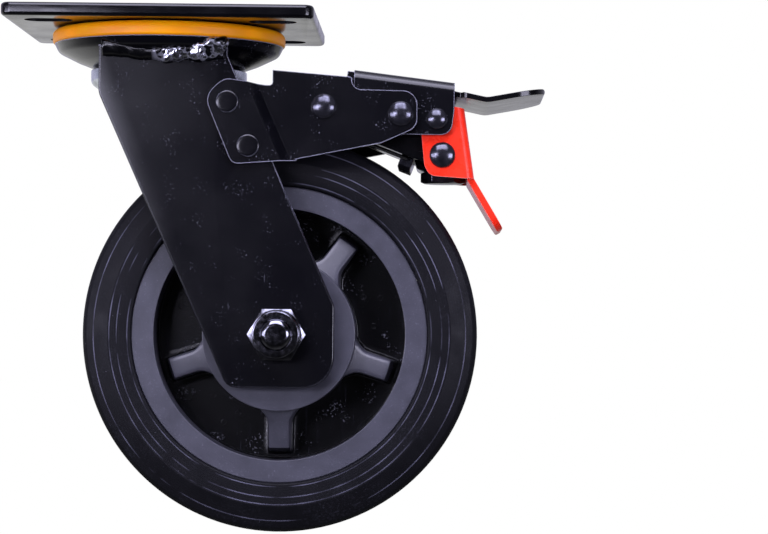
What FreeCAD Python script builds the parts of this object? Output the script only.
import FreeCAD, Part
import math
import os

# Swivel castor with a plate mount, a rubber-tyred wheel and a foot brake.
# X is the trail direction, Z is up, and the origin is on the swivel axis at the plate's top face.
# All sizes are in millimetres and all angles in degrees.

# Wheel and its place
wheel_diameter = 150.0
wheel_width = 50.0
wheel_top_clearance = 47.0
trail = 45.0

# Top plate
plate_length = 116.0
plate_width = 102.0
plate_thickness = 5.0
plate_corner = 4.0
plate_edge_round = 1.4
slot_spacing_x = 84.0
slot_spacing_y = 71.0
slot_width = 11.0
slot_length = 18.0
dish_radius = 24.0
dish_depth = 3.5
dish_slope = 2.0
dish_round = 1.5

# Kingpin, its nut and the swivel bearing
kingpin_radius = 8.0
kingpin_head_radius = 17.0
kingpin_head_sink = 0.2
kingpin_tail = 4.0
kingpin_round = 1.5
kingpin_nut_flats = 24.0
kingpin_nut_height = 13.0
upper_ball_radius = 4.0
upper_ball_count = 16
upper_race_radius = 34.0
upper_ball_drop = 0.6
lower_ball_radius = 3.5
lower_ball_count = 12
lower_race_in = 8.0
race_depth = 0.4
ball_clearance = 0.1

# Swivel crown, the dished head of the fork
crown_radius = 44.0
crown_rim_width = 4.0
crown_rim_gap = 6.0
crown_depth = 9.2
crown_sheet = 4.0
crown_bore_radius = 13.0
crown_bore_round = 0.6
crown_floor_round = 8.0
crown_slope_round = 10.0
crown_side_round = 3.5
race_shelf_in = 0.8
race_wall_in = 4.0
race_round = 2.0
crown_floor_in = 15.5
crown_slope_in = 9.0
crown_slope_rise = 2.4
crown_side_in = 1.6
crown_side_drop = 3.2
cap_leg_gap = 1.0
cap_wall = 2.4
cap_floor = 3.0
cap_gap = 0.5
cap_round = 3.0
cap_flat_in = 5.0

# Dust ring over the upper ball row
ring_outer_radius = 44.8
ring_inner_radius = 39.6
ring_gap = 0.4
ring_round = 2.6
ring_under_round = 1.2
ring_inside_round = 0.4

# Fork legs
leg_outer_half = 36.0
leg_thickness = 5.0
leg_edge_round = 0.7
leg_bend_round = 8.0
leg_toe_round = 5.0
leg_heel_round = 11.5
leg_rear_round = 6.0
leg_neck_above = 8.0
leg_neck_round = 3.0
leg_front = 23.0
leg_rear = 25.3
leg_front_bend_z = -32.0
leg_rear_bend_x = 28.6
leg_rear_bend_z = -25.5
leg_heel_front = 18.8
leg_heel_rear = 21.2
leg_heel_below = 20.0
leg_heel_above = 10.9
leg_crease_x = 21.6
leg_crease_bottom_z = -72.0
leg_crease_angle = 2.6
leg_crease_fade = 1.4
weld_gap = 0.15
weld_radius = 3.4
weld_sink = 0.9
weld_end_in = 1.5

# Axle
axle_radius = 6.0
axle_clearance = 0.1
axle_head_flats = 19.0
axle_head_height = 7.5
axle_nut_height = 8.0
axle_collar_radius = 8.8
axle_collar_height = 3.6
axle_collar_round = 0.6
axle_end_round = 2.6
axle_stick_out = 1.8
sleeve_radius = 10.0
washer_radius = 13.5
washer_thickness = 2.0
roller_radius = 2.5
roller_count = 12
roller_length = 46.0
roller_clearance = 0.05
cage_thickness = 1.6
cage_end = 3.0
cage_window_gap = 0.15
cage_end_gap = 0.2

# Wheel core and tyre
rim_thickness = 8.4
rim_half_width = 23.6
hub_radius = 28.9
hub_end_gap = 0.3
web_half_thickness = 4.0
spoke_count = 5
spoke_width = 8.5
spoke_hub_half = 24.0
spoke_end_half = 17.0
spoke_end_gap = 4.4
spoke_drop_gap = 1.9
spoke_foot_round = 4.0
core_round = 1.2
tyre_thickness = 18.9
tyre_side_height = 9.1
tyre_side_round = 0.8
tyre_bead_round = 1.0
tyre_shoulder_in = 1.6
tyre_shoulder_back = 3.2
tyre_shoulder_round = 2.5
tyre_tread_half = 20.0
tyre_tread_round = 3.0
bond_gap = 0.02

# Brake housing, one folded sheet riveted to both legs
housing_step = 2.5
housing_sheet = 2.5
housing_bend = 3.0
housing_top = ((42.1, -22.7), (71.7, -25.0))
ear_rivets = ((25.5, -35.1), (33.4, -51.5))
ear_crest = (-1.3, 8.9)
ear_shoulder = (-8.6, 2.0)
ear_foot = (-6.0, -6.9)
ear_crest_round = 6.0
ear_shoulder_round = 6.5
ear_foot_round = 3.6
ear_neck_round = 3.0
cheek_start_x = 36.0
cheek_notch_drop = 5.7
cheek_notch_round = 1.2
cheek_brow_ahead = 0.6
cheek_brow_above = 9.0
cheek_brow_round = 3.5
cheek_nose = (6.2, 8.6)
cheek_chin = (6.2, -5.0)
cheek_heel = (-7.0, -11.0)
cheek_nose_round = 5.5
cheek_chin_round = 5.0
cheek_heel_round = 4.0
cheek_foot_step = 3.2
joggle_line = ((32.4, -27.4), (45.4, -56.6))
joggle_run = 3.4
joggle_overlap = 6.0
joggle_lag = 1.0
joggle_round = 1.5
joggle_inner_round = 1.0
rivet_radius = 4.2
rivet_head_height = 1.0
rivet_hole_radius = 3.1
rivet_edge_round = 0.4

# Brake linkage: arm pivot, pedal pivot, release lever pivot and link point
arm_pivot = (61.4, -36.2)
pedal_pivot = (90.3, -38.6)
lever_pivot = (103.9, -40.2)
link_point = (106.1, -53.5)
side_gap = 0.5
pin_radius = 3.5
pin_clearance = 0.05
lever_pin_radius = 3.0
dome_radius = 4.75
dome_height = 2.2
small_dome_radius = 4.0
link_dome_radius = 4.9
link_clearance = 0.7

# Pedal: a folded channel with a foot plate riveted under its web
channel_sheet = 3.0
channel_bend = 3.5
channel_top = ((72.6, -21.8), (110.9, -26.4))
channel_bottom_z = -46.2
channel_front_drop = 13.0
channel_front_round = 3.0
channel_heel_x = 83.3
channel_heel_round = 6.0
channel_nose_above = 1.0
channel_nose_in = 0.5
channel_chin_in = 1.6
channel_chin_round = 4.5
channel_tongue = 2.8
channel_tongue_half = 20.0
foot_sheet = 2.0
foot_half_width = 32.0
foot_start_x = 80.0
foot_shoulder_x = 113.4
foot_bend_x = 122.8
foot_bend_z = -31.9
foot_tip_x = 144.8
foot_rise = 10.4
foot_tip_round = 12.0
foot_bend_round = 6.0
foot_edge_round = 0.9
foot_corner_round = 2.0
foot_rivets_x = (88.0, 102.0)
foot_rivet_radius = 2.5
foot_rivet_head_radius = 4.0
foot_rivet_head_height = 1.2

# Release lever, a folded channel that opens towards the wheel
lever_sheet = 2.5
lever_bend = 3.2
lever_back = ((114.3, -36.3), (118.2, -62.2))
lever_front = ((97.9, -44.0), (99.4, -57.6))
lever_bottom_z = -61.8
lever_eye_front = (-6.2, 0.5)
lever_eye_top = (-1.0, 6.2)
lever_eye_front_round = 4.0
lever_eye_top_round = 4.5
lever_back_past = 3.0
lever_foot_step = 3.5
lever_chin_step = 2.0
lever_chin_round = 4.0
lever_front_round = 3.0
tab_root = (117.9, -61.6)
tab_half_width = 22.5
tab_length = 22.5
tab_angle = 59.0
tab_round = 7.0
tab_hole_radius = 1.6
tab_hole_in = 4.0
tab_hole_side = 6.0
tab_bend_round = 1.5
tab_edge_round = 0.8
tab_lap = 2.0

# Brake arm, two bars joined by a cross plate
arm_sheet = 3.0
arm_end_radius = 6.5
arm_above = 4.2
arm_below = 5.0
cross_plate_start = 22.0
cross_plate_end = 38.5
tongue_half = 12.0
tongue_under = 3.0
tongue_sheet = 2.0
tongue_end = 7.4
tongue_knee = 0.35
tongue_round = 2.0
tongue_edge_round = 0.5
shoe_along = 35.8
shoe_length = 5.0
shoe_drop = 4.8
shoe_half_width = 18.0
shoe_teeth = 6
tooth_depth = 1.2
adjuster_radius = 4.0
adjuster_clearance = 0.1
adjuster_ahead = 0.3
adjuster_flats = 15.0
adjuster_head_height = 4.6
adjuster_nut_flats = 13.0
adjuster_nut_height = 6.0
adjuster_above = 8.0
spacer_wall = 1.6
spacer_end_gap = 0.2
spring_wire = 1.5
spring_turns = 3
spring_pitch = 1.9
spring_leg_long = 36.0
spring_leg_short = 7.6
spring_plate_gap = 0.15

# Places worked out from the sizes above
wheel_radius = wheel_diameter / 2
axle_x = trail
axle_z = -(wheel_top_clearance + wheel_radius)
core_radius = wheel_radius - tyre_thickness
rim_inner_radius = core_radius - rim_thickness
spoke_end_radius = rim_inner_radius - spoke_end_gap
spoke_drop_radius = rim_inner_radius - spoke_drop_gap
tyre_side_radius = core_radius + tyre_side_height
leg_inner_half = leg_outer_half - leg_thickness
cap_radius = leg_inner_half - cap_leg_gap
lower_race_radius = cap_radius - lower_race_in
housing_half = leg_outer_half - housing_step
plate_under = -plate_thickness
dish_bottom = -(plate_thickness + dish_depth)
upper_ball_z = plate_under - upper_ball_radius - upper_ball_drop
rim_top_z = plate_under - crown_rim_gap
crown_under = rim_top_z - crown_depth
lower_ball_z = crown_under - lower_ball_radius + race_depth
cap_inside_z = lower_ball_z - lower_ball_radius + race_depth
cap_under = cap_inside_z - cap_floor
kingpin_end = cap_under - kingpin_nut_height - kingpin_tail
housing_inner = housing_half - housing_sheet
channel_half = housing_inner - side_gap
channel_inner = channel_half - channel_sheet
lever_half = channel_inner - side_gap
lever_inner = lever_half - lever_sheet
arm_half = lever_inner - side_gap
arm_inner = arm_half - arm_sheet
hub_half = leg_inner_half - washer_thickness - hub_end_gap
roller_pitch_radius = sleeve_radius + roller_clearance + roller_radius
hub_bore_radius = roller_pitch_radius + roller_radius + roller_clearance
past_all = wheel_diameter


def vec(x, y, z):
    return FreeCAD.Vector(x, y, z)


ORIGIN = vec(0, 0, 0)
X_AXIS = vec(1, 0, 0)
Y_AXIS = vec(0, 1, 0)
Z_AXIS = vec(0, 0, 1)


def in_side_plane(y):
    """Place a point (x, z) of a side view at the depth y."""
    return lambda a, b: vec(a, y, b)


def in_plan(z):
    """Place a point (x, y) of a plan view at the height z."""
    return lambda a, b: vec(a, b, z)


def outline_face(corners, place):
    """Face inside an outline of (a, b, radius) corners, each rounded by its radius."""
    stops = []
    for i, (a, b, radius) in enumerate(corners):
        here = place(a, b)
        if radius == 0:
            stops.append((here, None, here))
            continue
        before = place(*corners[i - 1][:2]) - here
        after = place(*corners[(i + 1) % len(corners)][:2]) - here
        before.normalize()
        after.normalize()
        half = before.getAngle(after) / 2
        middle = before + after
        middle.normalize()
        reach = radius / math.tan(half)
        depth = radius / math.sin(half) - radius
        stops.append((here + before * reach, here + middle * depth, here + after * reach))
    edges = []
    for i, (start, middle, end) in enumerate(stops):
        last = stops[i - 1][2]
        if (start - last).Length > 1e-6:
            edges.append(Part.LineSegment(last, start).toShape())
        if middle is not None:
            edges.append(Part.Arc(start, middle, end).toShape())
    return Part.Face(Part.Wire(edges))


def sharp(points):
    """The same outline with no corner rounded."""
    return [(a, b, 0) for a, b in points]


def side_solid(corners, y_from, y_to):
    """Side-view outline (x, z) given a thickness along Y."""
    return outline_face(corners, in_side_plane(y_from)).extrude(vec(0, y_to - y_from, 0))


def plan_solid(corners, z_from, z_to):
    """Plan-view outline (x, y) given a height along Z."""
    return outline_face(corners, in_plan(z_from)).extrude(vec(0, 0, z_to - z_from))


def turned_about_z(corners):
    """Outline (radius, z) turned about the swivel axis."""
    return outline_face(corners, in_side_plane(0)).revolve(ORIGIN, Z_AXIS, 360)


def turned_about_y(corners, x, z):
    """Outline (radius, y) turned about an axis along Y through (x, z)."""
    face = outline_face(corners, lambda radius, y: vec(x + radius, y, z))
    return face.revolve(vec(x, 0, z), Y_AXIS, 360)


def tube_along_y(x, z, outer, inner, y_from, y_to):
    """Round tube along Y, or a bar where the inner radius is zero."""
    tube = Part.makeCylinder(outer, y_to - y_from, vec(x, y_from, z), Y_AXIS)
    if inner:
        tube = tube.cut(Part.makeCylinder(inner, y_to - y_from, vec(x, y_from, z), Y_AXIS))
    return tube


def mirrored(shape):
    """The same shape on the other side of the castor."""
    return shape.mirror(ORIGIN, Y_AXIS)


def hex_prism(flats, height, bore):
    """Hexagon standing on z = 0, corners along X, both ends turned down at its corners."""
    corner = flats / math.sqrt(3)
    points = []
    for k in range(7):
        angle = math.radians(60 * k)
        points.append(vec(corner * math.cos(angle), corner * math.sin(angle), 0))
    prism = Part.Face(Part.makePolygon(points)).extrude(vec(0, 0, height))
    turned_down = (corner - flats / 2) * math.tan(math.radians(30))
    face_radius = flats / 2 * 0.96
    side = corner + 0.01
    envelope = turned_about_z(sharp([
        (0, 0), (face_radius, 0), (side, turned_down), (side, height - turned_down),
        (face_radius, height), (0, height),
    ]))
    prism = prism.common(envelope)
    if bore:
        prism = prism.cut(Part.makeCylinder(bore, height, ORIGIN, Z_AXIS))
    return prism


def laid_outward(shape, x, y, z, side):
    """Turn a shape that stands along Z to point away from the castor along Y."""
    shape.rotate(ORIGIN, X_AXIS, -90 * side)
    shape.translate(vec(x, y, z))
    return shape


def domed_head(x, z, y, side, radius, height):
    """Low round head whose flat face lies at the depth y."""
    ball = (radius * radius + height * height) / (2 * height)
    start = math.degrees(math.asin((ball - height) / ball))
    centre = vec(x, y - side * (ball - height), z)
    return Part.makeSphere(ball, centre, vec(0, side, 0), start, 90, 360)


def headed_pin(point, radius, reach, head_radius, head_height):
    """Pin across the castor with a domed head at each end."""
    x, z = point
    pin = tube_along_y(x, z, radius, 0, -reach, reach)
    for side in (-1, 1):
        pin = pin.fuse(domed_head(x, z, side * reach, side, head_radius, head_height))
    return pin.removeSplitter()


def stub_rivet(point, radius, y_inner, y_outer, head_radius, tail_radius, side):
    """Short rivet through two cheeks, domed outside and flat inside."""
    x, z = point
    low, high = sorted((side * y_inner, side * y_outer))
    tail_low, tail_high = sorted((side * y_inner, side * (y_inner - rivet_head_height)))
    rivet = tube_along_y(x, z, radius, 0, low, high)
    tail = tube_along_y(x, z, tail_radius, 0, tail_low, tail_high)
    head = domed_head(x, z, side * y_outer, side, head_radius, dome_height)
    return rivet.fuse([tail, head]).removeSplitter()


def along(start, end, distance, offset):
    """Point at a distance along a line, moved square to it (positive is upwards)."""
    dx, dz = end[0] - start[0], end[1] - start[1]
    length = math.hypot(dx, dz)
    ux, uz = dx / length, dz / length
    return (start[0] + ux * distance - uz * offset, start[1] + uz * distance + ux * offset)


def span(start, end):
    return math.hypot(end[0] - start[0], end[1] - start[1])


def at_x(line, x):
    """Height of a straight line of the side view at x."""
    (x0, z0), (x1, z1) = line
    return z0 + (z1 - z0) * (x - x0) / (x1 - x0)


def folded_channel(half, sheet, bend, depth, length):
    """Inverted U sheet along X from the origin, its top face at z = 0."""
    inner_bend = max(bend - sheet, 0.5)
    outer = outline_face(
        [(-half, 0, bend), (half, 0, bend), (half, -depth, 0), (-half, -depth, 0)],
        lambda y, z: vec(0, y, z))
    hollow = outline_face(
        [(-half + sheet, -sheet, inner_bend), (half - sheet, -sheet, inner_bend),
         (half - sheet, -depth - 1, 0), (-half + sheet, -depth - 1, 0)],
        lambda y, z: vec(0, y, z))
    return outer.extrude(vec(length, 0, 0)).cut(hollow.extrude(vec(length, 0, 0)))


def channel_on_line(line, half, sheet, bend):
    """Long inverted U sheet whose top face follows a straight line of the side view."""
    start = along(line[0], line[1], -past_all, 0)
    channel = folded_channel(half, sheet, bend, past_all, span(*line) + 2 * past_all)
    channel.rotate(ORIGIN, Y_AXIS, -slope_of(line))
    channel.translate(vec(start[0], 0, start[1]))
    return channel


def slope_of(line):
    """Rise of a side-view line in degrees."""
    (x0, z0), (x1, z1) = line
    return math.degrees(math.atan2(z1 - z0, x1 - x0))


def edges_on_plane(shape, y):
    """Edges that lie wholly at the depth y."""
    found = []
    for edge in shape.Edges:
        box = edge.BoundBox
        if abs(box.YMin - y) < 1e-4 and abs(box.YMax - y) < 1e-4:
            found.append(edge)
    return found


# Mounting: plate, kingpin and lower race

def make_top_plate():
    """Plate dished around the kingpin, with the upper race under it and a slot near each corner."""
    x, y = plate_length / 2, plate_width / 2
    outline = [(-x, -y, plate_corner), (x, -y, plate_corner), (x, y, plate_corner), (-x, y, plate_corner)]
    plate = plan_solid(outline, plate_under, 0)
    rim = [e for e in plate.Edges if abs(e.BoundBox.ZMax - e.BoundBox.ZMin) < 1e-4]
    plate = plate.makeFillet(plate_edge_round, rim)
    bulge_radius = upper_race_radius - upper_ball_radius + plate_edge_round
    plate = plate.fuse(turned_about_z([
        (0, plate_under / 2, 0), (bulge_radius, plate_under / 2, 0),
        (bulge_radius, dish_bottom, dish_round), (0, dish_bottom, 0),
    ]))
    plate = plate.cut(turned_about_z([
        (0, 1, 0), (dish_radius + dish_slope, 1, 0), (dish_radius + dish_slope, 0, 0),
        (dish_radius, -dish_depth, dish_round), (0, -dish_depth, 0),
    ]))
    cutters = [Part.makeCylinder(kingpin_radius + bond_gap, 2 * plate_thickness, vec(0, 0, dish_bottom), Z_AXIS)]
    cutters.append(Part.makeTorus(upper_race_radius, upper_ball_radius + ball_clearance, vec(0, 0, upper_ball_z)))
    straight = slot_length - slot_width
    for sx in (-1, 1):
        for sy in (-1, 1):
            cx, cy = sx * slot_spacing_x / 2, sy * slot_spacing_y / 2
            corner = vec(cx - straight / 2, cy - slot_width / 2, plate_under)
            cutters.append(Part.makeBox(straight, slot_width, plate_thickness, corner))
            for end in (-1, 1):
                centre = vec(cx + end * straight / 2, cy, plate_under)
                cutters.append(Part.makeCylinder(slot_width / 2, plate_thickness, centre, Z_AXIS))
    return plate.cut(cutters).removeSplitter()


def make_kingpin():
    """Pin through the whole head, its flat head sunk in the plate's dish."""
    head_top = -kingpin_head_sink
    return turned_about_z([
        (0, head_top, 0), (kingpin_head_radius, head_top, kingpin_round), (kingpin_head_radius, -dish_depth, 0),
        (kingpin_radius, -dish_depth, 0), (kingpin_radius, kingpin_end, kingpin_round), (0, kingpin_end, 0),
    ])


def make_lower_race_cap():
    """Dished cap on the kingpin that holds the lower ball row against the crown."""
    top = crown_under - cap_gap
    inside = cap_radius - cap_wall
    cap = turned_about_z([
        (kingpin_radius + bond_gap, cap_inside_z, 0), (inside, cap_inside_z, race_round), (inside, top, cap_gap),
        (cap_radius, top, cap_gap), (cap_radius, cap_inside_z + cap_gap, cap_round),
        (cap_radius - cap_flat_in, cap_under, cap_round), (kingpin_radius + bond_gap, cap_under, 0),
    ])
    groove = Part.makeTorus(lower_race_radius, lower_ball_radius + ball_clearance, vec(0, 0, lower_ball_z))
    return cap.cut(groove)


def make_kingpin_nut():
    """Hexagon under the lower race cap."""
    nut = hex_prism(kingpin_nut_flats, kingpin_nut_height, kingpin_radius + bond_gap)
    nut.translate(vec(0, 0, cap_under - kingpin_nut_height))
    return nut


def ball_row(count, ball_radius, row_radius, z):
    """Balls set evenly on a level circle about the swivel axis."""
    balls = []
    for k in range(count):
        angle = 2 * math.pi * k / count
        balls.append(Part.makeSphere(ball_radius, vec(row_radius * math.cos(angle), row_radius * math.sin(angle), z)))
    return balls


# Fork: crown, legs, dust ring and axle

def crown_outside():
    """Outer corners of the crown's section, from its bore to its rim."""
    return [
        (crown_bore_radius, crown_under, crown_bore_round),
        (crown_radius - crown_floor_in, crown_under, crown_floor_round),
        (crown_radius - crown_slope_in, crown_under + crown_slope_rise, crown_slope_round),
        (crown_radius - crown_side_in, rim_top_z - crown_side_drop, crown_side_round),
        (crown_radius, rim_top_z, 0),
    ]


def make_swivel_crown():
    """Dished sheet with the upper race pressed inside its rim and the lower race under its floor."""
    inner_floor = crown_under + crown_sheet
    race_floor = upper_ball_z - upper_ball_radius + race_depth
    crown = turned_about_z(crown_outside() + [
        (crown_radius - crown_rim_width, rim_top_z, crown_bore_round),
        (upper_race_radius + upper_ball_radius + race_shelf_in, race_floor, race_round),
        (upper_race_radius - upper_ball_radius - race_shelf_in, race_floor, race_round),
        (upper_race_radius - upper_ball_radius - race_wall_in, inner_floor, race_round),
        (crown_bore_radius, inner_floor, crown_bore_round),
    ])
    upper = Part.makeTorus(upper_race_radius, upper_ball_radius + ball_clearance, vec(0, 0, upper_ball_z))
    lower = Part.makeTorus(lower_race_radius, lower_ball_radius + ball_clearance, vec(0, 0, lower_ball_z))
    return crown.cut([upper, lower])


def crown_envelope():
    """Everything the crown covers from below, used to fit the legs and beads to it."""
    outer = crown_outside()[1:]
    return turned_about_z([(0, crown_under, 0)] + outer + [(crown_radius, 0, 0), (0, 0, 0)])


def make_dust_ring():
    """Ring between the plate and the crown's rim, round on its outer side."""
    top = plate_under - ring_gap
    return turned_about_z([
        (ring_inner_radius, rim_top_z, ring_inside_round), (ring_outer_radius, rim_top_z, ring_under_round),
        (ring_outer_radius, top, ring_round), (ring_inner_radius, top, ring_inside_round),
    ])


def make_leg():
    """Near leg: a plate with a faint crease, cut to the crown at its top."""
    heel_z = axle_z - leg_heel_below
    leg = side_solid([
        (-leg_front, rim_top_z, 0), (-leg_front, leg_front_bend_z, leg_bend_round),
        (axle_x - leg_heel_front, heel_z, leg_toe_round), (axle_x + leg_heel_rear, heel_z, leg_heel_round),
        (axle_x + leg_heel_rear, axle_z + leg_heel_above, leg_toe_round),
        (leg_rear_bend_x, leg_rear_bend_z, leg_rear_round),
        (leg_rear, leg_rear_bend_z + leg_neck_above, leg_neck_round), (leg_rear, rim_top_z, 0),
    ], -leg_outer_half, -leg_inner_half)
    leg = leg.makeFillet(leg_edge_round, edges_on_plane(leg, -leg_outer_half))
    reach = 2 * leg_front - leg_crease_bottom_z
    behind = Part.makeBox(reach, reach, 2 * reach, vec(0, -reach, -reach))
    behind.rotate(ORIGIN, Z_AXIS, leg_crease_angle)
    behind.translate(vec(leg_crease_x, -leg_outer_half, leg_crease_bottom_z))
    above = Part.makeBox(2 * reach, reach, reach, vec(-reach, -reach, 0))
    above.rotate(ORIGIN, X_AXIS, -leg_crease_fade)
    above.translate(vec(leg_crease_x, -leg_outer_half, leg_crease_bottom_z))
    leg = leg.cut(behind.common(above))
    envelope = crown_envelope()
    envelope.translate(vec(0, 0, -weld_gap))
    hole = Part.makeCylinder(axle_radius + axle_clearance, leg_thickness, vec(axle_x, -leg_outer_half, axle_z), Y_AXIS)
    rivet_holes = [
        Part.makeCylinder(rivet_hole_radius, leg_thickness, vec(x, -leg_outer_half, z), Y_AXIS)
        for x, z in ear_rivets
    ]
    return leg.cut([envelope, hole] + rivet_holes).removeSplitter()


def make_weld_bead(leg):
    """Bead along the near seam, where the crown's underside meets the leg's outer face."""
    y = -leg_outer_half
    envelope = crown_envelope()
    reach = math.sqrt(crown_radius ** 2 - y ** 2)
    front = max(-leg_front, -reach) + weld_end_in
    rear = min(leg_rear, reach) - weld_end_in
    highest = rim_top_z - weld_radius - ring_gap
    points = []
    for k in range(7):
        x = front + (rear - front) * k / 6
        upright = Part.LineSegment(vec(x, y, cap_under), vec(x, y, 0)).toShape()
        under = upright.common(envelope).BoundBox.ZMin
        points.append(vec(x, y, min(under + weld_sink, highest)))
    seam = Part.BSplineCurve()
    seam.interpolate(points)
    path = Part.Wire([seam.toShape()])
    tangent = path.Edges[0].tangentAt(path.Edges[0].FirstParameter)
    ring = Part.Wire([Part.Circle(points[0], tangent, weld_radius).toShape()])
    bead = path.makePipeShell([ring], True, False)
    return bead.cut([leg, envelope])


def make_axle_bolt():
    """Bolt through both legs, its head on the far leg and its end rounded."""
    far = leg_outer_half
    near_end = -(leg_outer_half + axle_nut_height + axle_collar_height + axle_stick_out)
    shank = turned_about_y([(0, far, 0), (axle_radius, far, 0), (axle_radius, near_end, axle_end_round), (0, near_end, 0)],
                           axle_x, axle_z)
    head = laid_outward(hex_prism(axle_head_flats, axle_head_height, 0), axle_x, far, axle_z, 1)
    return shank.fuse(head).removeSplitter()


def make_axle_nut():
    """Locking nut: a hexagon with a round collar beyond it."""
    hexagon = hex_prism(axle_head_flats, axle_nut_height, 0)
    top = axle_nut_height + axle_collar_height
    collar = turned_about_z([
        (0, axle_nut_height - 1, 0), (axle_collar_radius, axle_nut_height - 1, 0),
        (axle_collar_radius, top, axle_collar_round), (0, top, 0),
    ])
    nut = hexagon.fuse(collar).cut(Part.makeCylinder(axle_radius + bond_gap, top))
    return laid_outward(nut.removeSplitter(), axle_x, -leg_outer_half, axle_z, -1)


def make_axle_sleeve():
    """Tube on the bolt that keeps the legs apart and carries the rollers."""
    inner = axle_radius + axle_clearance
    return tube_along_y(axle_x, axle_z, sleeve_radius, inner, -leg_inner_half, leg_inner_half)


def make_thrust_washers():
    """Washer at each end of the hub."""
    inner = sleeve_radius + axle_clearance
    start = leg_inner_half - washer_thickness
    washer = tube_along_y(axle_x, axle_z, washer_radius, inner, start, leg_inner_half)
    return [washer, mirrored(washer)]


# Wheel: rollers, cage, core and tyre

def make_rollers():
    """Rollers set evenly around the sleeve."""
    rollers = []
    for k in range(roller_count):
        angle = 2 * math.pi * k / roller_count
        x = axle_x + roller_pitch_radius * math.cos(angle)
        z = axle_z + roller_pitch_radius * math.sin(angle)
        rollers.append(tube_along_y(x, z, roller_radius, 0, -roller_length / 2, roller_length / 2))
    return rollers


def make_roller_cage():
    """Cage with a window for each roller."""
    half = roller_length / 2 + cage_end
    middle = roller_pitch_radius
    cage = tube_along_y(axle_x, axle_z, middle + cage_thickness / 2, middle - cage_thickness / 2, -half, half)
    window = roller_radius + cage_window_gap
    window_half = roller_length / 2 + cage_end_gap
    cutters = []
    for k in range(roller_count):
        angle = 2 * math.pi * k / roller_count
        x = axle_x + middle * math.cos(angle)
        z = axle_z + middle * math.sin(angle)
        cutters.append(tube_along_y(x, z, window, 0, -window_half, window_half))
    return cage.cut(cutters)


def make_pocket():
    """Space between two spokes on the near face of the web, its four corners rounded."""
    ring = tube_along_y(axle_x, axle_z, rim_inner_radius, hub_radius, -rim_half_width - 1, -web_half_thickness)
    wedge = 360 / spoke_count
    sector = outline_face(sharp([
        (0, 0), (core_radius, core_radius * math.tan(math.radians(wedge / 2))),
        (core_radius, -core_radius * math.tan(math.radians(wedge / 2))),
    ]), lambda a, b: vec(axle_x + a, -rim_half_width - 1, axle_z + b))
    sector = sector.extrude(vec(0, rim_half_width, 0))
    shift = spoke_width / 2 / math.sin(math.radians(wedge / 2))
    sector.translate(vec(shift, 0, 0))
    pocket = ring.common(sector)
    corners = []
    for edge in pocket.Edges:
        box = edge.BoundBox
        if box.YLength > web_half_thickness and box.XLength + box.ZLength < 1e-4:
            corners.append(edge)
    return pocket.makeFillet(spoke_foot_round, corners)


def make_wheel_core():
    """Rim, hub and a web with spokes on both faces, which slope down from the hub and end before the rim."""
    rim = turned_about_y([
        (rim_inner_radius, -rim_half_width, core_round), (core_radius, -rim_half_width, 0),
        (core_radius, rim_half_width, 0), (rim_inner_radius, rim_half_width, core_round),
    ], axle_x, axle_z)
    hub = turned_about_y([
        (hub_bore_radius, -hub_half, core_round), (hub_radius, -hub_half, core_round),
        (hub_radius, hub_half, core_round), (hub_bore_radius, hub_half, core_round),
    ], axle_x, axle_z)
    inner, outer = hub_radius - core_round, rim_inner_radius + core_round
    disc = turned_about_y(sharp([
        (inner, -spoke_hub_half), (spoke_end_radius, -spoke_end_half), (spoke_drop_radius, -web_half_thickness),
        (outer, -web_half_thickness), (outer, web_half_thickness), (spoke_drop_radius, web_half_thickness),
        (spoke_end_radius, spoke_end_half), (inner, spoke_hub_half),
    ]), axle_x, axle_z)
    near = make_pocket()
    pockets = []
    for k in range(spoke_count):
        turn = 90 + 360 * (k + 0.5) / spoke_count
        for pocket in (near.copy(), mirrored(near)):
            pocket.rotate(vec(axle_x, 0, axle_z), Y_AXIS, turn)
            pockets.append(pocket)
    return rim.fuse([disc.cut(pockets), hub]).removeSplitter()


def make_tyre():
    """Tyre with flat sides, a nearly flat tread and rounded shoulders."""
    bore = core_radius + bond_gap
    side = wheel_width / 2
    near_half = [
        (bore, -side, tyre_bead_round), (tyre_side_radius, -side, tyre_side_round),
        (wheel_radius - tyre_shoulder_in, -side + tyre_shoulder_back, tyre_shoulder_round),
        (wheel_radius, -tyre_tread_half, tyre_tread_round),
    ]
    far_half = [(radius, -y, corner) for radius, y, corner in reversed(near_half)]
    return turned_about_y(near_half + far_half, axle_x, axle_z)


# Brake housing

def cheek_outline():
    """Side view of the housing's cheek, right of the joggle."""
    (x0, z0), (x1, z1) = housing_top
    px, pz = pedal_pivot
    foot = joggle_line[1]
    return [
        (cheek_start_x, z0 - cheek_notch_drop, 0), (x0, z0 - cheek_notch_drop, cheek_notch_round), (x0, z0, 0),
        (x1, z1, 0), (x1 + cheek_brow_ahead, pz + cheek_brow_above, cheek_brow_round),
        (px + cheek_nose[0], pz + cheek_nose[1], cheek_nose_round),
        (px + cheek_chin[0], pz + cheek_chin[1], cheek_chin_round),
        (px + cheek_heel[0], pz + cheek_heel[1], cheek_heel_round),
        (foot[0] + cheek_foot_step, foot[1], 0), (cheek_start_x, foot[1] + cheek_foot_step / 2, 0),
    ]


def ear_outline():
    """Side view of the ear on the leg, out to the joggle's inner bend."""
    (ax, az), (bx, bz) = ear_rivets
    (jx0, jz0), (jx1, jz1) = joggle_line
    return [
        (ax + ear_crest[0], az + ear_crest[1], ear_crest_round),
        (ax + ear_shoulder[0], az + ear_shoulder[1], ear_shoulder_round),
        (bx + ear_foot[0], bz + ear_foot[1], ear_foot_round),
        (jx1, jz1 - joggle_lag / 2, 0), (jx1 + joggle_overlap, jz1, 0),
        (jx0 + joggle_overlap + joggle_lag, jz0 - joggle_lag, 0), (jx0, jz0, ear_neck_round),
    ]


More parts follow.
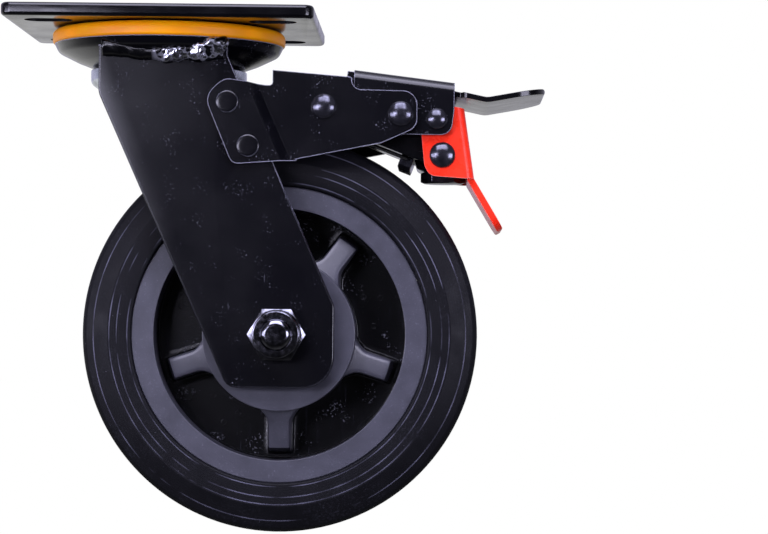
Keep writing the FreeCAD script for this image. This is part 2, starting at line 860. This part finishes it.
def make_joggled_sheet():
    """Near sheet stepped in from the leg's face to the cheek, bent along two parallel lines."""
    out, rest = -leg_outer_half, -housing_half
    face = outline_face([
        (-past_all, out - housing_sheet, 0), (0, out - housing_sheet, joggle_round),
        (joggle_run, rest, joggle_inner_round), (past_all, rest, 0), (past_all, rest + housing_sheet, 0),
        (joggle_run - joggle_lag, rest + housing_sheet, joggle_round), (-joggle_lag, out, joggle_inner_round),
        (-past_all, out, 0),
    ], lambda u, y: vec(u, y, -past_all))
    sheet = face.extrude(vec(0, 0, 2 * past_all))
    (x0, z0), (x1, z1) = joggle_line
    lean = math.degrees(math.atan2(x1 - x0, z0 - z1))
    sheet.rotate(ORIGIN, Y_AXIS, -lean)
    sheet.translate(vec((x0 + x1) / 2, 0, (z0 + z1) / 2))
    return sheet


def make_brake_housing():
    """Both cheeks, their ears and the web that joins them, folded from one sheet."""
    reach = leg_outer_half + 2 * housing_sheet
    sheet = make_joggled_sheet()
    step_outline = side_solid(ear_outline(), -reach, 0)
    cheek_prism = side_solid(cheek_outline(), -reach, reach)
    near_ear = sheet.common(step_outline)
    near_start = sheet.common(cheek_prism)
    channel = channel_on_line(housing_top, housing_half, housing_sheet, housing_bend)
    (jx0, jz0), (jx1, jz1) = joggle_line
    ux, uz = (jx1 - jx0) / span(*joggle_line), (jz1 - jz0) / span(*joggle_line)
    beyond = side_solid(sharp([
        (jx0 + joggle_overlap - ux * past_all, jz0 - uz * past_all), (jx0 + past_all, jz0 - uz * past_all),
        (jx0 + past_all, jz1 + uz * past_all), (jx1 + joggle_overlap + ux * past_all, jz1 + uz * past_all),
    ]), -reach, reach)
    folded = channel.common(cheek_prism).common(beyond)
    housing = folded.fuse([near_ear, near_start, mirrored(near_ear), mirrored(near_start)])
    holes = []
    for x, z in ear_rivets:
        holes.append(tube_along_y(x, z, rivet_hole_radius, 0, -reach, reach))
    for x, z in (arm_pivot, pedal_pivot):
        holes.append(tube_along_y(x, z, pin_radius + pin_clearance, 0, -reach, reach))
    return housing.cut(holes).removeSplitter()


def make_ear_rivets():
    """Four flat-headed rivets, two in each ear."""
    rivets = []
    outer = -(leg_outer_half + housing_sheet)
    inner = -leg_inner_half
    for x, z in ear_rivets:
        rivet = turned_about_y([
            (0, outer - rivet_head_height, 0), (rivet_radius, outer - rivet_head_height, rivet_edge_round),
            (rivet_radius, outer, 0), (rivet_hole_radius - bond_gap, outer, 0),
            (rivet_hole_radius - bond_gap, inner, 0), (rivet_radius, inner, 0),
            (rivet_radius, inner + rivet_head_height, rivet_edge_round), (0, inner + rivet_head_height, 0),
        ], x, z)
        rivets += [rivet, mirrored(rivet)]
    return rivets


# Pedal

def make_pedal_channel():
    """Folded channel between the housing's cheeks, with a tongue that stops on the housing's web."""
    (x0, z0), (x1, z1) = channel_top
    px, pz = pedal_pivot
    channel = channel_on_line(channel_top, channel_half, channel_sheet, channel_bend)
    outline = side_solid([
        (x0, 0, 0), (x1, 0, 0), (x1 - channel_nose_in, pz + channel_nose_above, channel_nose_in),
        (x1 - channel_chin_in, channel_bottom_z, channel_chin_round),
        (channel_heel_x, channel_bottom_z, channel_heel_round), (x0, z0 - channel_front_drop, channel_front_round),
    ], -channel_half, channel_half)
    channel = channel.common(outline)
    tongue = Part.makeBox(2 * channel_tongue, 2 * channel_tongue_half, channel_sheet,
                          vec(-channel_tongue, -channel_tongue_half, -channel_sheet))
    tongue.rotate(ORIGIN, Y_AXIS, -slope_of(channel_top))
    tongue.translate(vec(x0, 0, z0))
    channel = channel.fuse(tongue)
    holes = [tube_along_y(px, pz, pin_radius + pin_clearance, 0, -channel_half, channel_half)]
    holes.append(tube_along_y(*lever_pivot, lever_pin_radius, 0, -channel_half, channel_half))
    for x in foot_rivets_x:
        holes.append(foot_rivet_hole(x))
    return channel.cut(holes).removeSplitter()


def foot_height(x):
    """Height of the foot plate's top face at x, under the channel's web."""
    return at_x(channel_top, x) - channel_sheet / math.cos(math.radians(slope_of(channel_top)))


def on_foot_plate(shape, x):
    """Turn a shape that stands along Z square to the web and set it on the plate's top face."""
    shape.rotate(ORIGIN, Y_AXIS, -slope_of(channel_top))
    shape.translate(vec(x, 0, foot_height(x)))
    return shape


def foot_rivet_hole(x):
    """Hole through web and foot plate."""
    depth = channel_sheet + foot_sheet
    hole = Part.makeCylinder(foot_rivet_radius, 2 * depth, vec(0, 0, -depth), Z_AXIS)
    return on_foot_plate(hole, x)


def make_foot_rivets():
    """Two rivets that hold the foot plate under the channel's web."""
    top, low = channel_sheet, -foot_sheet
    shank = foot_rivet_radius - bond_gap
    head, height = foot_rivet_head_radius, foot_rivet_head_height
    rivets = []
    for x in foot_rivets_x:
        rivet = turned_about_z([
            (0, top + height, 0), (head, top + height, foot_edge_round), (head, top, 0), (shank, top, 0),
            (shank, low, 0), (head, low, 0), (head, low - height, foot_edge_round), (0, low - height, 0),
        ])
        rivets.append(on_foot_plate(rivet, x))
    return rivets


def make_foot_plate():
    """Sheet under the channel's web that widens past its end and turns up to a round tip."""
    web_end_x = channel_top[1][0]
    web_end_z = foot_height(web_end_x)
    tip_z = foot_bend_z + (foot_tip_x - foot_bend_x) * math.tan(math.radians(foot_rise))
    start_z = foot_height(foot_start_x)
    t = foot_sheet
    half = foot_half_width
    side_view = side_solid([
        (foot_start_x, start_z, 0), (web_end_x, web_end_z, foot_bend_round), (foot_bend_x, foot_bend_z, foot_bend_round),
        (foot_tip_x, tip_z, foot_edge_round), (foot_tip_x, tip_z - t, foot_edge_round),
        (foot_bend_x, foot_bend_z - t, foot_bend_round + t), (web_end_x, web_end_z - t, foot_bend_round + t),
        (foot_start_x, start_z - t, 0),
    ], -half, half)
    inner = channel_inner - side_gap
    near_half = [
        (foot_start_x, -inner, foot_corner_round), (foot_shoulder_x, -inner, foot_edge_round),
        (foot_shoulder_x, -half, foot_corner_round), (foot_tip_x, -half, foot_tip_round),
    ]
    far_half = [(x, -y, corner) for x, y, corner in reversed(near_half)]
    plan = plan_solid(near_half + far_half, tip_z - past_all, tip_z + past_all)
    plate = side_view.common(plan)
    return plate.cut([foot_rivet_hole(x) for x in foot_rivets_x])


# Release lever

def make_release_lever():
    """Folded channel with its web at the back and a tab bent down from the web."""
    (bx0, bz0), (bx1, bz1) = lever_back
    (fx0, fz0), (fx1, fz1) = lever_front
    cx, cz = lever_pivot
    channel = channel_on_line(lever_back, lever_half, lever_sheet, lever_bend)
    outline = side_solid([
        (fx0, fz0, 0), (cx + lever_eye_front[0], cz + lever_eye_front[1], lever_eye_front_round),
        (cx + lever_eye_top[0], cz + lever_eye_top[1], lever_eye_top_round), (bx0 + lever_back_past, bz0, 0),
        (bx1 + lever_back_past, bz1, 0), (bx1 - lever_foot_step, bz1, 0),
        (fx1 + lever_chin_step, lever_bottom_z + side_gap, lever_chin_round), (fx1, fz1, lever_front_round),
    ], -lever_half, lever_half)
    lever = channel.common(outline)
    down = math.radians(tab_angle)
    dx, dz = math.cos(down), -math.sin(down)
    nx, nz = -math.sin(down), -math.cos(down)
    start = tab_root
    t = lever_sheet

    def on_tab(distance, depth):
        """Side-view point at a distance down the tab and a depth under its outer face."""
        return (start[0] + dx * distance + nx * depth, start[1] + dz * distance + nz * depth)

    tab = side_solid([
        (*on_tab(0, 0), tab_bend_round), (*on_tab(tab_length, 0), tab_edge_round),
        (*on_tab(tab_length, t), tab_edge_round), (*on_tab(0, t), 0), (start[0] - t, start[1] + tab_lap / 2, 0),
        (start[0] - tab_lap / 5, start[1] + tab_lap, 0),
    ], -tab_half_width, tab_half_width)

    def over_tab(distance, y):
        """Point above the tab's outer face."""
        x, z = on_tab(distance, -2 * t)
        return vec(x, y, z)

    rounding = outline_face([
        (-2 * tab_lap, -tab_half_width, 0), (tab_length, -tab_half_width, tab_round),
        (tab_length, tab_half_width, tab_round), (-2 * tab_lap, tab_half_width, 0),
    ], over_tab)
    tab = tab.common(rounding.extrude(vec(nx, 0, nz) * 5 * t))
    holes = [Part.makeCylinder(tab_hole_radius, 5 * t, over_tab(tab_length - tab_hole_in, y), vec(nx, 0, nz))
             for y in (tab_hole_side - tab_half_width, tab_half_width - tab_hole_side)]
    holes.append(tube_along_y(cx, cz, lever_pin_radius + pin_clearance, 0, -lever_half, lever_half))
    holes.append(tube_along_y(*link_point, pin_radius, 0, -lever_half, lever_half))
    return lever.fuse(tab).cut(holes).removeSplitter()


# Brake arm

def make_arm_bar():
    """Near bar of the arm, with a round eye at each end."""
    length = span(arm_pivot, link_point)
    corners = []
    for distance, offset in ((0, -arm_below), (length, -arm_below), (length, arm_above), (0, arm_above)):
        corners.append(along(arm_pivot, link_point, distance, offset))
    bar = side_solid(sharp(corners), -arm_half, -arm_inner)
    eyes = [tube_along_y(x, z, arm_end_radius, 0, -arm_half, -arm_inner) for x, z in (arm_pivot, link_point)]
    return bar.fuse(eyes).removeSplitter()


def make_brake_arm():
    """Two bars with a cross plate between them; its tongue holds the adjuster under the link point."""
    bar = make_arm_bar()
    t = tongue_sheet
    a = along(arm_pivot, link_point, cross_plate_start, -arm_below + t)
    b = along(arm_pivot, link_point, cross_plate_end, -arm_below + t)
    tongue_top = link_point[1] - tongue_under
    c = (link_point[0] + tongue_end, tongue_top)
    a_low = along(arm_pivot, link_point, cross_plate_start, -arm_below)
    b_low = along(arm_pivot, link_point, cross_plate_end, -arm_below)
    slope_plate = side_solid(sharp([a, b, b_low, a_low]), -arm_inner, arm_inner)
    knee_x = b[0] + (b[1] - tongue_top) * tongue_knee
    tongue = side_solid([
        (*a, 0), (*b, 0), (knee_x, tongue_top, tongue_round), (*c, tongue_edge_round),
        (c[0], c[1] - t, tongue_edge_round), (knee_x - t / 2, tongue_top - t, tongue_round), (*b_low, 0), (*a_low, 0),
    ], -tongue_half, tongue_half)
    arm = bar.fuse([slope_plate, tongue, mirrored(bar)])
    holes = [tube_along_y(*arm_pivot, pin_radius + pin_clearance, 0, -arm_half, arm_half)]
    holes.append(tube_along_y(*link_point, pin_radius + link_clearance, 0, -arm_half, arm_half))
    x, z = adjuster_seat()
    hole_radius = adjuster_radius + adjuster_clearance
    holes.append(Part.makeCylinder(hole_radius, 3 * t, vec(x, 0, z - t), Z_AXIS))
    return arm.cut(holes).removeSplitter()


def make_brake_shoe():
    """Serrated block under the cross plate."""
    half = shoe_half_width
    face_z = -arm_below
    pitch = 2 * half / shoe_teeth
    section = [(-half, 0), (half, 0)]
    for k in range(shoe_teeth):
        section.append((half - k * pitch, -shoe_drop + tooth_depth))
        section.append((half - (k + 0.5) * pitch, -shoe_drop))
    section.append((-half, -shoe_drop + tooth_depth))

    def place(y, drop):
        x, z = along(arm_pivot, link_point, shoe_along - shoe_length / 2, face_z + drop)
        return vec(x, y, z)

    face = outline_face(sharp(section), place)
    end = along(arm_pivot, link_point, shoe_length, 0)
    return face.extrude(vec(end[0] - arm_pivot[0], 0, end[1] - arm_pivot[1]))


def adjuster_seat():
    """Point under the tongue where the adjuster's head bears."""
    return (link_point[0] + adjuster_ahead, link_point[1] - tongue_under - tongue_sheet)


def make_adjuster_bolt():
    """Bolt through the tongue, its head underneath."""
    x, z = adjuster_seat()
    head = hex_prism(adjuster_flats, adjuster_head_height, 0)
    head.translate(vec(x, 0, z - adjuster_head_height))
    top = z + tongue_sheet + adjuster_above
    shank = Part.makeCylinder(adjuster_radius, top - z, vec(x, 0, z), Z_AXIS)
    return head.fuse(shank).removeSplitter()


def make_adjuster_nut():
    """Nut on top of the tongue."""
    x, z = adjuster_seat()
    nut = hex_prism(adjuster_nut_flats, adjuster_nut_height, adjuster_radius + bond_gap)
    nut.translate(vec(x, 0, z + tongue_sheet))
    return nut


def make_arm_spacers():
    """Tubes on the arm's pin that hold the bars away from the cheeks."""
    inner = pin_radius + pin_clearance
    near_bar, near_cheek = arm_half + spacer_end_gap, housing_inner - spacer_end_gap
    tube = tube_along_y(*arm_pivot, pin_radius + spacer_wall, inner, near_bar, near_cheek)
    return [tube, mirrored(tube)]


def make_arm_spring():
    """Torsion spring on the arm's pin: a long leg under the cross plate, a short leg up to the housing."""
    coil_radius = arm_below + spring_plate_gap + spring_wire / 2
    fall = math.degrees(math.atan2(arm_pivot[1] - link_point[1], link_point[0] - arm_pivot[0]))
    turns = spring_turns + (90 - fall) / 360
    height = spring_pitch * turns
    helix = Part.makeHelix(spring_pitch, height, coil_radius)
    climb = spring_pitch / (2 * math.pi * coil_radius)
    end_angle = 2 * math.pi * turns
    start = vec(coil_radius, 0, 0)
    end = vec(coil_radius * math.cos(end_angle), coil_radius * math.sin(end_angle), height)
    back = vec(0, -1, -climb)
    ahead = vec(-math.sin(end_angle), math.cos(end_angle), climb)
    short_end = start + back * spring_leg_short
    short_leg = Part.LineSegment(short_end, start).toShape()
    long_leg = Part.LineSegment(end, end + ahead * spring_leg_long).toShape()
    path = Part.Wire([short_leg] + helix.Edges + [long_leg])
    section = Part.Wire([Part.Circle(short_end, back, spring_wire / 2).toShape()])
    spring = path.makePipeShell([section], True, False)
    spring.rotate(ORIGIN, Z_AXIS, 180)
    spring.rotate(ORIGIN, X_AXIS, 90)
    near = arm_inner - spring_wire / 2 - side_gap - climb * spring_leg_long
    spring.translate(vec(arm_pivot[0], height - near, arm_pivot[1]))
    return spring


def write(name, *solids):
    """Write a node's solids to its STEP file."""
    shape = solids[0] if len(solids) == 1 else Part.makeCompound(list(solids))
    shape.exportStep(f"parts/{name}.step")


def main():
    os.makedirs("parts", exist_ok=True)
    write("top_plate", make_top_plate())
    write("kingpin", make_kingpin())
    write("lower_race_cap", make_lower_race_cap())
    write("kingpin_nut", make_kingpin_nut())

    leg = make_leg()
    bead = make_weld_bead(leg)
    write("swivel_crown", make_swivel_crown())
    write("upper_balls", *ball_row(upper_ball_count, upper_ball_radius, upper_race_radius, upper_ball_z))
    write("lower_balls", *ball_row(lower_ball_count, lower_ball_radius, lower_race_radius, lower_ball_z))
    write("dust_ring", make_dust_ring())
    write("near_fork_leg", leg)
    write("far_fork_leg", mirrored(leg))
    write("near_weld_bead", bead)
    write("far_weld_bead", mirrored(bead))
    write("axle_bolt", make_axle_bolt())
    write("axle_nut", make_axle_nut())
    write("axle_sleeve", make_axle_sleeve())
    write("thrust_washers", *make_thrust_washers())

    write("wheel_rollers", *make_rollers())
    write("roller_cage", make_roller_cage())
    write("wheel_core", make_wheel_core())
    write("tyre", make_tyre())

    write("brake_housing", make_brake_housing())
    write("ear_rivets", *make_ear_rivets())
    head_at = housing_half
    write("arm_pin", headed_pin(arm_pivot, pin_radius, head_at, dome_radius, dome_height))
    write("pedal_pin", headed_pin(pedal_pivot, pin_radius, head_at, dome_radius, dome_height))
    write("arm_spacers", *make_arm_spacers())

    write("pedal_channel", make_pedal_channel())
    write("foot_plate", make_foot_plate())
    write("foot_rivets", *make_foot_rivets())
    lever_rivets = [stub_rivet(lever_pivot, lever_pin_radius - bond_gap, lever_inner, channel_half,
                               small_dome_radius, small_dome_radius, side) for side in (-1, 1)]
    write("lever_rivets", *lever_rivets)

    write("release_lever", make_release_lever())
    link_rivets = [stub_rivet(link_point, pin_radius - bond_gap, arm_inner, lever_half,
                              link_dome_radius, link_dome_radius, side) for side in (-1, 1)]
    write("link_rivets", *link_rivets)

    write("brake_arm", make_brake_arm())
    write("brake_shoe", make_brake_shoe())
    write("adjuster_bolt", make_adjuster_bolt())
    write("adjuster_nut", make_adjuster_nut())
    write("arm_spring", make_arm_spring())


main()
